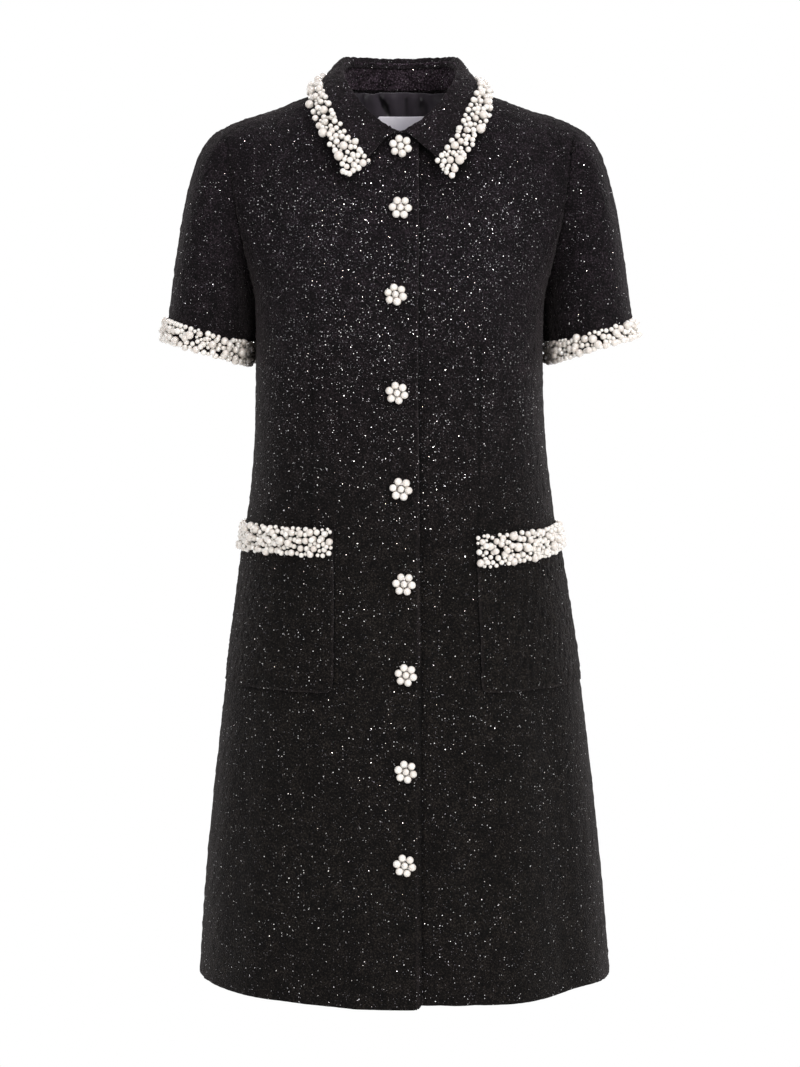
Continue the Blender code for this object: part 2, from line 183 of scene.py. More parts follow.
def boucleTweed(name, dark="#020202", mid="#0d0b0b", light="#292626"):
    # Wool boucle with lurex chips: deep black nubs, a soft bloom towards the edges, silver glints. Painted
    # light tints it by height, and painted highlights and shade come from the mesh.
    look = {
        "nub": 2.0, "fibre": 1.1, "slub": 14.0, "patch": 60.0,  # sizes in mm
        "chips": (  # spacing and radius in mm, brightness, share of the cells that hold one
            (1.6, 0.32, "#8a878c", 0.15),
            (2.8, 0.37, "#ffffff", 0.18),
            (5.0, 0.53, "#ffffff", 0.25),
        ),
        "tilt": 0.9,  # how far a chip may lean away from the cloth
        "heights": (  # more chips show on the waist than near the hem, most on the chest, fewer at the neck
            (-0.95, -0.35, 1.10, 1.35),
            (-0.44, -0.18, 1.0, 2.7),
            (-0.12, -0.085, 1.0, 0.55),
        ),
        "sleeves": (0.135, 0.165, 1.0, 0.40), "skirt": (-0.31, -0.36),  # fewer on the sleeves
        "low": "#e0dccb", "high": "#f8e6ff", "turn": (-0.50, -0.18),  # painted light: warmer and darker below, violet above, as the light's colour falls
        # the painted highlight's colour, and the near black of painted shade
        "worn": "#5a5254", "paintedShade": "#000000",
    }
    material, tree, shader, spot = newMaterial(name)
    nub = addNode(tree, "TexVoronoi", {"Vector": spot, "Scale": 1000 / look["nub"]})
    height = mathNode(tree, "MULTIPLY_ADD", nub.outputs["Distance"], -1.0, 1.0)
    rough = mathNode(tree, "MULTIPLY_ADD", noisy(tree, spot, look["fibre"], Detail=3.0), 0.9, height)
    shade = mathNode(tree, "MULTIPLY_ADD", noisy(tree, spot, look["slub"], Detail=4.0), 0.8, rough)
    ramp = toned(tree, spanned(tree, shade, 0.9, 1.9), dark, light, mid)
    bump = addNode(tree, "Bump", {"Height": rough, "Strength": 0.75, "Distance": mm})
    axes = addNode(tree, "SeparateXYZ", {0: spot}).outputs
    # Painted light: the colour shifts by height, as the lamps' light does.
    paintedLightTint = mixed(tree, spanned(tree, axes["Z"], *look["turn"]), look["low"], look["high"])
    paintedLightTinted = mixed(tree, 1.0, ramp, paintedLightTint, blend_type="MULTIPLY")
    paintedLight = addNode(tree, "Attribute", attribute_name="paintedLight").outputs["Fac"]  # above 0 a painted highlight, below 0 painted shade
    color = mixed(tree, spanned(tree, paintedLight, 0, 1, 0, 0.5), paintedLightTinted, look["worn"])

    beside = spanned(tree, mathNode(tree, "ABSOLUTE", axes["X"]), *look["sleeves"])
    share = mathNode(tree, "MAXIMUM", beside, spanned(tree, axes["Z"], *look["skirt"]))
    for span in look["heights"]:
        share = mathNode(tree, "MULTIPLY", share, spanned(tree, axes["Z"], *span))
    uneven = mathNode(tree, "MULTIPLY_ADD", noisy(tree, spot, look["patch"]), 1.2, 0.4)
    share = mathNode(tree, "MULTIPLY", share, uneven)
    straight = addNode(tree, "NewGeometry").outputs["Normal"]
    metal, facing = 0.0, bump.outputs["Normal"]
    for spacing, radius, tone, held in look["chips"]:
        cell = addNode(tree, "TexVoronoi", {"Vector": spot, "Scale": 1000 / spacing})
        edge = radius / spacing
        chip = spanned(tree, cell.outputs["Distance"], edge, edge * 0.7)
        pick = addNode(tree, "SeparateColor", {"Color": cell.outputs["Color"]}).outputs["Red"]
        chosen = spanned(tree, mathNode(tree, "MULTIPLY_ADD", share, held, pick), 1.0, 1.05)
        mask = mathNode(tree, "MULTIPLY", chip, chosen)
        color = mixed(tree, mask, color, tone)
        metal = mathNode(tree, "MAXIMUM", metal, mask)
        lean = mathNode(tree, "SUBTRACT", cell.outputs["Color"], (0.5, 0.5, 0.5), kind="VectorMath")
        turned = mathNode(tree, "MULTIPLY_ADD", lean, (look["tilt"],) * 3, straight, kind="VectorMath")
        facing = addNode(tree, "Mix", {0: mask, 4: facing, 5: turned}, data_type="VECTOR").outputs[1]
    # Painted shade: below 0 the colour goes nearly black.
    feed(shader, {
        "Base Color": mixed(tree, spanned(tree, paintedLight, 0, -1, 0, 0.94), color, look["paintedShade"]),
        "Metallic": metal, "Normal": facing, "Roughness": spanned(tree, metal, 0, 1, 0.9, 0.18),
        "Specular IOR Level": 0.1,
        "Sheen Weight": 0.17, "Sheen Roughness": 0.3, "Sheen Tint": "#948c8c",
    })
    return material


def acrylicPearl():
    # Moulded acrylic with a nacre dip: cream, a soft broad highlight, grey clouds. Painted light gives a
    # faint rosy tint towards the rim as seen, to even out the shading; painted shade darkens beads beside the
    # body.
    look = {"cream": "#d0cdc6", "warm": "#bab3aa", "grey": "#c6c4c0", "rim": "#d2ccc5", "bodyShade": "#3a322c",
            "cloud": 3.0}
    material, tree, shader, spot = newMaterial("acrylicPearl")
    tone = addNode(tree, "Attribute", attribute_name="tone").outputs["Fac"]  # past 1 painted shade beside the body
    cloud = spanned(tree, noisy(tree, spot, look["cloud"], Detail=2.0), 0.45, 0.75, 0, 0.5)
    # Painted light: towards the rim as seen, the colour turns a faint rosy, to even out the shading.
    rim = mathNode(tree, "POWER", addNode(tree, "LayerWeight", {"Blend": 0.5}).outputs["Facing"], 2.2)
    color = mixed(tree, tone, look["cream"], look["warm"])
    color = mixed(tree, cloud, color, look["grey"])
    color = mixed(tree, rim, color, look["rim"])
    # Painted shade: beads beside the body darken.
    color = mixed(tree, spanned(tree, tone, 1.0, 2.0, 0, 0.9), color, look["bodyShade"])
    feed(shader, {
        "Base Color": color, "Roughness": 0.22, "IOR": 1.49,
        "Coat Weight": 1.0, "Coat IOR": 1.7, "Coat Roughness": 0.08,
        "Subsurface Weight": 0.35, "Subsurface Scale": 1.0,
        "Subsurface Radius": (1.2 * mm, 1.0 * mm, 0.9 * mm),
    })
    return material


def liningSatin():
    # Acetate satin, woven smooth: dark violet grey with a silky sheen along its folds, and painted shade in
    # their creases.
    look = {"dark": "#312d33", "light": "#443f46", "paintedCreaseShade": "#0b090c", "cloud": 25.0,
            "thread": 0.5}  # in mm, coarser than real satin, so that it shows
    material, tree, shader, spot = newMaterial("acetateSatin")
    cloud = toned(tree, noisy(tree, spot, look["cloud"], Detail=2.0), look["dark"], look["light"])
    fold = addNode(tree, "Attribute", attribute_name="fold").outputs["Fac"]  # how deep a crease is, in mm
    # Painted shade: the colour darkens in the satin's creases.
    feed(shader, {
        "Base Color": mixed(tree, spanned(tree, fold, -0.4, -3.0), cloud, look["paintedCreaseShade"]),
        "Normal": ribbed(tree, spot, look["thread"], 0.12, 0.1, Distortion=1.5),
        "Roughness": 0.32, "Sheen Weight": 0.25, "Sheen Roughness": 0.3,
    })
    return material


def labelRibbon():
    # Woven polyester ribbon, left blank: pale lilac white with a fine ribbed satin face.
    look = {"pale": "#f6f4fa", "shade": "#e6e3f0", "cloud": 18.0,
            "rib": 0.6}  # in mm, coarser than a real ribbon, so that it shows
    material, tree, shader, spot = newMaterial("wovenLabelSatin")
    cloud = toned(tree, noisy(tree, spot, look["cloud"], Detail=2.0), look["shade"], look["pale"])
    feed(shader, {"Base Color": cloud, "Roughness": 0.42,
                  "Normal": ribbed(tree, spot, look["rib"], 0.25, 0.15)})
    return material


def silverSetting():
    # Silver-plated brass cups under the button's pearls: bright, slightly dulled metal.
    look = {"dull": "#8f8b86", "bright": "#d9d5cf", "cloud": 2.0}
    material, tree, shader, spot = newMaterial("silverPlatedBrass")
    cloud = toned(tree, noisy(tree, spot, look["cloud"], Detail=3.0), look["dull"], look["bright"])
    feed(shader, {"Base Color": cloud, "Metallic": 1.0, "Roughness": 0.32})
    return material


tweed = boucleTweed("woolBoucleLurex")
paintedLighterTweed = boucleTweed("woolBouclePaintedLighter", "#080707", "#292526", "#5a5456")  # a lighter copy of the tweed, painted light for the collar's inside, which the lamps reach less
pearl = acrylicPearl()
satin = liningSatin()
ribbon = labelRibbon()
silver = silverSetting()
print("materials made")

# How the cloth hangs.

# The two darts above the pockets, in mm: x and z at both ends, and depth.
darts = ((79, -262, 78, -452, 1.1), (-87, -262, -88, -446, 1.0))
# Soft troughs (depth below 0) and ridges, in mm: x and z at both ends, width and depth.
bodyFolds = {
    "front": (
        (34, -470, 52, -700, 15, -3.2), (30, -640, 40, -912, 11, -2.2), (96, -520, 118, -905, 24, 3.0),
        (62, -690, 78, -912, 14, -2.4), (150, -640, 172, -900, 18, -2.6), (-58, -500, -62, -660, 10, -2.0),
        (-92, -700, -116, -912, 20, -3.6), (-40, -720, -46, -912, 14, 2.2),
        (-150, -620, -176, -905, 16, -2.2),
        (30, -190, 36, -330, 9, -1.8), (72, -150, 84, -250, 26, 2.6), (-70, -160, -84, -255, 24, 2.0),
        (-128, -232, -70, -285, 9, -2.0), (-134, -262, -84, -318, 8, -1.5), (128, -226, 84, -270, 9, -1.8),
        (136, -262, 92, -300, 7, -1.3), (-24, -345, -52, -420, 10, -1.2), (104, -330, 98, -430, 12, -1.5),
        (-104, -330, -98, -420, 12, -1.6), (-152, -75, -120, -150, 12, -1.6), (150, -75, 124, -140, 12, -1.4),
        *((*ends, 2.4, -deep) for *ends, deep in darts),
    ),
    "back": (
        (0, -90, 4, -260, 16, -1.6), (-62, -120, -80, -300, 16, -2.2), (70, -110, 78, -290, 15, -2.0),
        (-110, -250, -60, -330, 10, -2.0), (116, -240, 66, -320, 10, -2.2), (-30, -340, -44, -640, 20, -2.6),
        (40, -330, 60, -660, 18, -2.2), (-92, -560, -120, -912, 22, -3.6), (8, -560, 2, -912, 24, 3.2),
        (84, -600, 108, -912, 20, -3.4), (160, -560, 182, -905, 16, -2.4), (-160, -600, -186, -905, 16, -2.2),
        (-140, -110, -118, -190, 12, -1.6), (138, -100, 120, -190, 12, -1.8),
    ),
}
# The same on a sleeve, with degrees round the arm (0 outside, 90 in front) in place of x.
sleeveFolds = (
    (70, -110, 60, -240, 16, -1.6), (110, -150, 95, -268, 14, -2.0), (30, -90, 24, -250, 18, -1.0),
    (150, -190, 125, -262, 10, -1.8), (-60, -120, -70, -260, 16, -1.8), (-120, -170, -100, -262, 12, -1.8),
)
hang = {  # in mm
    "widening": 1.25,  # folds stand out as from a body this much wider than deep
    "faces": (5, 50),  # the folds of front and back set in this far from the side seams
    "hem": (520, 915), "waves": ((1.3, 5, 0.6), (0.9, 8, 2.1), (0.6, 13, 4.0)),  # height, number, shift
    "arm": (190, -4), "aside": (150, 180), "below": (70, 130),  # its middle, and where its folds set in
    "perDegree": 0.9, "further": 9,  # the left sleeve's folds lie further round
    # Each shoulder is fuller near its end: where, how wide, how much higher.
    "rises": ((158, 26, 3.4), (-158, 22, 2.0), (112, 16, 1.8)), "riseY": (2, 40), "riseZ": (-42, 26),
    "corner": (186, 20, 2.4), "cornerFrom": (880, 910),  # the hem's left corner is drawn up
}


def nearLine(x, z, row):
    # How much a fold moves the points beside its line. It fades at both ends.
    x0, z0, x1, z1, width, depth = row
    along = np.array([x1 - x0, z1 - z0], float)
    length = np.hypot(*along)
    share = ((x - x0) * along[0] + (z - z0) * along[1]) / length**2
    across = ((x - x0) * along[1] - (z - z0) * along[0]) / length
    past = np.maximum(np.maximum(-share, share - 1), 0) * length
    return depth * bell(across, width) * bell(past, 1.6 * width)


def foldArm(x, y, z, side):  # how a sleeve's folds move its cloth
    flat = np.stack([(x - side * hang["arm"][0]) * side, y - hang["arm"][1]], 1)
    angle = np.degrees(np.arctan2(-flat[:, 1], flat[:, 0]))
    depth = np.zeros(len(x))
    for start, top, end, bottom, width, deep in sleeveFolds:
        around = [turn * hang["perDegree"] + (hang["further"] if side > 0 else 0) for turn in (start, end)]
        depth += nearLine(angle * hang["perDegree"], z, (around[0], top, around[1], bottom, width, deep))
    depth *= rising(side * x, *hang["aside"]) * rising(-z, *hang["below"])
    ray = flat / np.maximum(np.linalg.norm(flat, axis=1), 1e-6)[:, None]
    return np.stack([ray[:, 0] * side, ray[:, 1], 0 * x], 1) * depth[:, None]


def drape(points):
    # All that is on the body or a sleeve is moved by this, so that it stays together.
    x, y, z = (points / mm).T
    push = np.zeros(len(x))
    out = np.stack([x, y * hang["widening"], 0 * x], 1)
    out /= np.maximum(np.linalg.norm(out, axis=1), 1e-6)[:, None]
    for face, side in (("front", -1), ("back", 1)):
        weight = rising(y * side, *hang["faces"])
        weight = weight * weight * (3 - 2 * weight)
        for row in bodyFolds[face]:
            push += weight * nearLine(x, z, row)
    turn = np.arctan2(x, -y)
    waves = sum(height * np.sin(count * turn + shift) for height, count, shift in hang["waves"])
    push += rising(-z, *hang["hem"]) ** 1.5 * waves
    moved = out * push[:, None] + foldArm(x, y, z, -1) + foldArm(x, y, z, 1)
    (atY, deep), (atZ, tall) = hang["riseY"], hang["riseZ"]
    onShoulder = bell(y - atY, deep) * bell(z - atZ, tall)
    for middle, width, rise in hang["rises"]:
        moved[:, 2] += rise * bell(x - middle, width) * onShoulder
    corner, width, rise = hang["corner"]
    moved[:, 2] += rise * bell(x - corner, width) * rising(-z, *hang["cornerFrom"])
    return points + moved * mm


def skinOf(nodeName, centre=(0, 0), outside=True):
    # One face of a CAD shell as quads: the outer or the inner one.
    mesh = bmesh.new()
    mesh.from_mesh(nodes[nodeName].data)
    bmesh.ops.remove_doubles(mesh, verts=mesh.verts[:], dist=0.01 * mm)
    bmesh.ops.join_triangles(mesh, faces=mesh.faces[:], angle_face_threshold=math.radians(60),
                             angle_shape_threshold=math.radians(180))
    patches, seen = [], set()
    for first in mesh.faces:
        if first in seen:
            continue
        seen.add(first)
        patch, queue = [], [first]
        while queue:
            face = queue.pop()
            patch.append(face)
            for edge in face.edges:
                if edge.calc_face_angle(math.pi) > math.radians(50):
                    continue
                fresh = [other for other in edge.link_faces if other not in seen]
                seen.update(fresh)
                queue.extend(fresh)
        patches.append(patch)
    patches.sort(key=lambda patch: sum(face.calc_area() for face in patch))
    heart = Vector((centre[0] * mm, centre[1] * mm, 0))

    def looksOut(patch):
        total = 0.0
        for face in patch:
            away = face.calc_center_median() - heart
            total += face.calc_area() * face.normal.xy.dot(away.xy.normalized())
        return total

    pair = sorted(patches[-2:], key=looksOut)
    keep = set(pair[1 if outside else 0])
    bmesh.ops.delete(mesh, geom=[face for face in mesh.faces if face not in keep], context="FACES")
    return mesh


cloth = {}


def smoothSheet(name, skin, levels, material):
    piece = newObject(name, skin, material)
    smooth = piece.modifiers.new("smooth", "SUBSURF")
    smooth.levels = levels
    smooth.boundary_smooth = "PRESERVE_CORNERS"
    applyModifiers(piece)
    cloth[name] = piece
    return piece.data


def borderOf(mesh):
    # Border points, each with the direction in which the sheet ends there.
    form = bmesh.new()
    form.from_mesh(mesh)
    found = []
    for vert in form.verts:
        if vert.is_boundary:
            inner = [e.other_vert(vert) for e in vert.link_edges if not e.is_boundary]
            if inner:
                away = vert.co - sum((v.co for v in inner), Vector()) / len(inner)
                found.append((vert.index, vert.co.copy(), away.normalized()))
    form.free()
    return found


def treeOf(mesh):
    return BVHTree.FromPolygons([v.co for v in mesh.vertices], [p.vertices[:] for p in mesh.polygons])


def paintLight(mesh, amount):
    # Adds painted light to the tweed: below 0 painted shade, above 0 a painted highlight.
    marks = mesh.attributes.get("paintedLight") or mesh.attributes.new("paintedLight", "FLOAT", "POINT")
    values = np.zeros(len(mesh.vertices))
    marks.data.foreach_get("value", values)
    marks.data.foreach_set("value", np.clip(values + amount, -1, 1).astype(np.float32))


def flatDistance(mesh, places):
    # How far each point is from the nearest place, in mm, as seen from the front.
    tree = pointTree([Vector((place.x, 0, place.z)) for place in places])
    return np.array([tree.find(Vector((p[0], 0, p[2])))[2] for p in pointsOf(mesh)]) / mm


seams = {"depth": 0.9, "width": 2.4, "dark": 0.7, "line": 1.6}  # a dip in mm, the painted shade along it and that shade's width


def dipSeams(mesh, isSeam):
    # The cloth dips into its seams, and painted shade darkens the dip.
    tree = pointTree([point for _, point, _ in borderOf(mesh) if isSeam(point / mm)])
    points = pointsOf(mesh)
    far = np.array([tree.find(Vector(p))[2] for p in points]) / mm
    setPoints(mesh, points - normalsOf(mesh) * (seams["depth"] * bell(far, seams["width"]) * mm)[:, None])
    paintLight(mesh, -seams["dark"] * bell(far, seams["line"]))


def sewTo(mesh, others, isSeam, under=0.5, reach=5.0, width=6.0):
    # A piece's border is drawn onto its neighbours' borders and a little under them.
    ends = []
    for other in others:
        found = {index: point for index, point, _ in borderOf(other)}
        for edge in other.edges:
            a, b = edge.vertices
            if a in found and b in found:
                ends.append((found[a], found[b]))
    tree = pointTree([(a + b) / 2 for a, b in ends])
    pulls, places = [], []
    for _, point, away in borderOf(mesh):
        if not isSeam(point / mm):
            continue
        spots = []
        for _, k, _ in tree.find_n(point, 6):
            a, b = ends[k]
            share = min(max((point - a).dot(b - a) / max((b - a).length_squared, 1e-12), 0), 1)
            spots.append(a.lerp(b, share))
        best = min(spots, key=lambda spot: (spot - point).length)
        if (best - point).length < reach * mm:
            pulls.append(best - point + away * under * mm)
            places.append(point)
    tree = pointTree(places)
    points = pointsOf(mesh)
    for row, point in enumerate(points):
        _, k, far = tree.find(Vector(point))
        if far < 2.5 * width * mm:
            points[row] += np.array(pulls[k]) * bell(far / mm, width)
    setPoints(mesh, points)


nubs = {"size": 5.5, "height": 0.3, "waves": 40, "spread": 1.7}  # sizes in mm


def nubble(mesh, seed):
    # Boucle loops stand up unevenly, so no outline is quite straight.
    rng = np.random.default_rng(seed)
    points = pointsOf(mesh)
    waves = rng.normal(size=(nubs["waves"], 3)) * (2 * math.pi / (nubs["size"] * mm)) / nubs["spread"]
    phase = rng.uniform(0, 2 * math.pi, nubs["waves"])
    bumps = np.sin(points @ waves.T + phase).sum(1) / math.sqrt(nubs["waves"] / 2)
    setPoints(mesh, points + normalsOf(mesh) * (bumps * nubs["height"] * mm)[:, None])


def weldClose(sheet, gap):
    # Points that crowd together at a corner would fold over one another.
    mesh = bmesh.new()
    mesh.from_mesh(sheet)
    bmesh.ops.remove_doubles(mesh, verts=mesh.verts[:], dist=gap * mm)
    mesh.to_mesh(sheet)
    mesh.free()


def giveWall(piece, thickness, edge=0.6):
    wall = piece.modifiers.new("wall", "SOLIDIFY")
    wall.thickness = thickness * mm
    wall.offset = -1
    if edge:
        rim = piece.modifiers.new("rim", "BEVEL")
        rim.width = edge * mm
        rim.segments = 2
        rim.limit_method = "ANGLE"
        rim.angle_limit = math.radians(62)
    applyModifiers(piece)
    piece.data.shade_smooth()


bodyPanels = {"frontRight": "front_right", "frontLeft": "front_left", "backPanel": "back"}
crowd = 1.0  # points nearer than this are joined, in mm
frontFrom = -20  # what is on the front has a y below this, in mm
hemTop = -901  # a border below this is the hem, in mm
lap = {  # the right front's edge, its lift, and the left front's dip beside it, in mm
    "edge": 18, "lift": 1.3, "over": 9, "valley": 1.6, "valleyAt": 21, "valleyWidth": 3.2,
    "marks": {"frontRight": (0.12, 0, 1.4), "frontLeft": (-0.75, 1, 1.8)},  # painted light (a highlight on the right front's edge, shade beside it on the left front), how far out, width
}
dartLine = (1.3, -0.85)  # width in mm and painted shade
armhole = {"at": 183, "width": 26, "in": 6.0, "heights": (-122, -62)}  # in mm


def bodySeam(point):
    onLap = abs(abs(point.x) - lap["edge"]) < 3 and point.y < -70
    return point.z >= hemTop and not onLap


def shapeLap(points, name):
    # The right front's edge stands off a little, and the left front dips beside it.
    x, y, _ = (points / mm).T
    rise = rising(x, lap["edge"] - lap["over"], lap["edge"])
    push = {"frontRight": -lap["lift"] * rise * rise,
            "frontLeft": lap["valley"] * bell(x - lap["valleyAt"], lap["valleyWidth"])}
    return points + np.outer(push.get(name, 0 * x) * rising(-y, 60, 70), (0, mm, 0))


def markFront(mesh, name):
    # Painted shade draws thin dark lines along the darts and beside the closing, and a painted highlight lies
    # along the right front's edge.
    x, y, z = (pointsOf(mesh) / mm).T
    marks = sum(nearLine(x, z, (*ends, *dartLine)) for *ends, _ in darts)
    amount, past, width = lap["marks"][name]
    marks += amount * bell(x - lap["edge"] - past, width)
    paintLight(mesh, marks * (y < frontFrom))


def drawInArmhole(mesh):
    # The armhole's seam lies further in towards the shoulder. The cloth slides along itself.
    points = pointsOf(mesh)
    normals = normalsOf(mesh)
    x, _, z = (points / mm).T
    near = bell(np.abs(x) - armhole["at"], armhole["width"]) * rising(z, *armhole["heights"])
    way = np.zeros_like(points)
    way[:, 0] = -np.sign(x) * armhole["in"] * near
    way -= normals * (way * normals).sum(1)[:, None]
    setPoints(mesh, points + way * mm)


for name, node in bodyPanels.items():
    sheet = smoothSheet(name, skinOf(node), 3, tweed)
    weldClose(sheet, crowd)
    setPoints(sheet, shapeLap(drape(pointsOf(sheet)), name))
    drawInArmhole(sheet)
    dipSeams(sheet, bodySeam)
    if name in lap["marks"]:
        markFront(sheet, name)
    nubble(sheet, seed=len(name))
sewTo(cloth["backPanel"].data, [cloth["frontRight"].data, cloth["frontLeft"].data], bodySeam)
print("body panels made")

sleeves = {  # rise: how far the hem is drawn up inside, and how much more outside, in mm
    "sleeveRight": {"node": "sleeve_right", "side": -1, "front": "frontRight", "rise": (2.0, 1.2)},
    "sleeveLeft": {"node": "sleeve_left", "side": 1, "front": "frontLeft", "rise": (4.5, 3.2)},
}
cuffTop = -232  # a sleeve's border below this is its hem, in mm
underarm = {"at": 24, "width": 15, "push": 12.5, "below": (197, 214), "inside": (185, 170)}  # in mm
cuffSpan = {"outside": (155, 190), "below": (215, 255)}  # in mm


def sleeveSeam(point):
    return point.z > cuffTop


def settleSleeve(points, item):
    # Beside the back of the body the sleeve falls in towards it, and its hem is drawn up.
    x, y, z = (points / mm).T
    outwards = item["side"] * x
    push = underarm["push"] * rising(-z, *underarm["below"]) * rising(outwards, *underarm["inside"])
    push *= bell(y - underarm["at"], underarm["width"])
    whole, outer = item["rise"]
    rise = (whole + outer * rising(outwards, *cuffSpan["outside"])) * rising(-z, *cuffSpan["below"])
    return points + np.stack([-item["side"] * push, 0 * x, rise], 1) * mm


for name, item in sleeves.items():
    sheet = smoothSheet(name, skinOf(item["node"], (item["side"] * hang["arm"][0], hang["arm"][1])), 3, tweed)
    weldClose(sheet, crowd)
    setPoints(sheet, settleSleeve(drape(pointsOf(sheet)), item))
    drawInArmhole(sheet)
    dipSeams(sheet, sleeveSeam)
    nubble(sheet, seed=item["side"] + 7)
    sewTo(sheet, [cloth[item["front"]].data, cloth["backPanel"].data], sleeveSeam)
print("sleeves made")

pockets = {"pocketRight": "pocket_right", "pocketLeft": "pocket_left"}
pocketMarks = {  # painted light and its width in mm: a painted highlight along the pocket's edge, painted shade on the front beside it
    "edgeHighlight": (0.10, 1.6), "shade": (0.95, 1.9), "softer": (110, 85), "least": 0.25,  # least along the bottom
}
leftPocket = {  # its inner edge sits further out and its mouth slopes down towards the front, in mm
    "inner": 68, "outer": 165, "out": 7.8, "held": (166, 148),  # it stays in the side seam
    "levels": (443, 471, 605), "innerDrop": (7.0, 12.5, 0), "outerDrop": (3.5, 3, 0),
}


def sideSeam(point):  # the pocket's outer edge is sewn into it
    return abs(point.x) > 138 and point.y > -45


def lowerPocket(x, z):  # how far the left pocket goes outwards and up here
    item = leftPocket
    share = rising(x, item["inner"], item["outer"])
    inner, outer = (np.interp(-z, item["levels"], item[name]) for name in ("innerDrop", "outerDrop"))
    return item["out"] * (1 - share), -(inner * (1 - share) + outer * share) * rising(x, *item["held"])


def settlePocket(points, front):
    # It keeps its height over the front as it is moved.
    tree = treeOf(front)
    moved = points.copy()
    for row, (x, y, z) in enumerate(points):
        across, up = lowerPocket(x / mm, z / mm)
        before = frontHit(tree, x, z)[0]
        after = frontHit(tree, x + across * mm, z + up * mm)[0]
        if before and after:
            moved[row] = (x + across * mm, y + after.y - before.y, z + up * mm)
    return moved


for name, node in pockets.items():
    sheet = smoothSheet(name, skinOf(node), 4, tweed)
    front = cloth[name.replace("pocket", "front")].data
    setPoints(sheet, drape(pointsOf(sheet)))
    if name == "pocketLeft":
        setPoints(sheet, settlePocket(pointsOf(sheet), front))
    sewTo(sheet, [front], sideSeam, under=0, reach=12, width=9)
    nubble(sheet, seed=len(node))
    edge = [point for _, point, _ in borderOf(sheet) if not sideSeam(point / mm)]
    # A painted highlight along the pocket's edge, painted shade on the front beside it.
    amount, width = pocketMarks["edgeHighlight"]
    paintLight(sheet, amount * bell(flatDistance(sheet, edge), width))
    x, y, z = (pointsOf(front) / mm).T
    amount, width = pocketMarks["shade"]
    upright = np.maximum(rising(np.abs(x), *pocketMarks["softer"]), pocketMarks["least"])
    paintLight(front, -amount * upright * bell(flatDistance(front, edge), width) * (y < frontFrom))
print("pockets made")

collar = {  # in mm
    "centre": (0, -5), "frontFrom": -60,  # the collar's fronts have a y below this
    "points": ((51, -105, -98, 11.0), (-51, -105, -98, 4.0)), "reach": 36,  # each point stands off the front
    "sides": ((78, 5, 6, 4.5, 2.5), (-78, 5, 6, 3.0, 1.5)), "sideReach": (20, 30, 15),  # each falls inwards
    "bow": 3.6, "bowAt": (-27, -77), "bowReach": (16, 11), "edgeWay": (-0.748, -0.663),  # the right edge
    "lap": 6.0, "inside": 2.5, "near": 8,  # how far the fold comes down in the stand
    "paintedLight": 0.03, "paintedShadows": {"frontLeft": (1.8, 4.6), "frontRight": (0.9, 3.6)},  # the leaf is painted a little lighter, and painted shadow lies on the front under the leaf
}


def shapeCollar(points):
    x, y, z = (points / mm).T
    moved = np.zeros_like(points)
    for px, py, pz, lift in collar["points"]:
        moved[:, 1] -= lift * bell(np.sqrt((x - px) ** 2 + (y - py) ** 2 + (z - pz) ** 2), collar["reach"])
    wide, deep, tall = collar["sideReach"]
    for px, py, pz, fall, inward in collar["sides"]:
        near = bell(x - px, wide) * bell(y - py, deep) * bell(z - pz, tall)
        moved[:, 2] -= near * fall
        moved[:, 0] -= near * inward * np.sign(px)
    ax, az = collar["edgeWay"]
    dx, dz = x - collar["bowAt"][0], z - collar["bowAt"][1]
    bow = bell(dx * ax + dz * az, collar["bowReach"][0]) * bell(dx * az - dz * ax, collar["bowReach"][1])
    moved += (bow * (y < collar["frontFrom"]) * collar["bow"])[:, None] * np.array([-az, 0, ax])
    return points + moved * mm


def closeFold(leaf, stand):
    # The leaf turns over its fold and comes down inside the stand.
    tree = pointTree([v.co.copy() for v in stand.verts if v.is_boundary])
    for vert in leaf.verts:
        head, _, far = tree.find(vert.co)
        if vert.is_boundary and far < collar["near"] * mm:
            inward = -(Vector((head.x, head.y - collar["centre"][1] * mm, 0)).normalized())
            vert.co = head + (inward * collar["inside"] - Vector((0, 0, collar["lap"]))) * mm


leafSkin, standSkin = skinOf("collar_leaf", collar["centre"]), skinOf("collar_stand", collar["centre"])
closeFold(leafSkin, standSkin)
for name, skin in (("collarLeaf", leafSkin), ("collarStand", standSkin)):
    sheet = smoothSheet(name, skin, 3, paintedLighterTweed if name == "collarStand" else tweed)
    setPoints(sheet, shapeCollar(pointsOf(sheet)))
    nubble(sheet, seed=len(name))
# Painted light: the whole leaf a little lighter, and painted shadow on the fronts under its edge.
paintLight(cloth["collarLeaf"].data, collar["paintedLight"])
edge = [point for _, point, _ in borderOf(cloth["collarLeaf"].data) if point.y < collar["frontFrom"] * mm]
for name, (amount, width) in collar["paintedShadows"].items():
    front = cloth[name].data
    shade = np.minimum(amount * bell(flatDistance(front, edge), width), 1)
    paintLight(front, -shade * (pointsOf(front)[:, 1] < collar["frontFrom"] * mm))
print("collar made")

# Lining and label at the back of the neck.

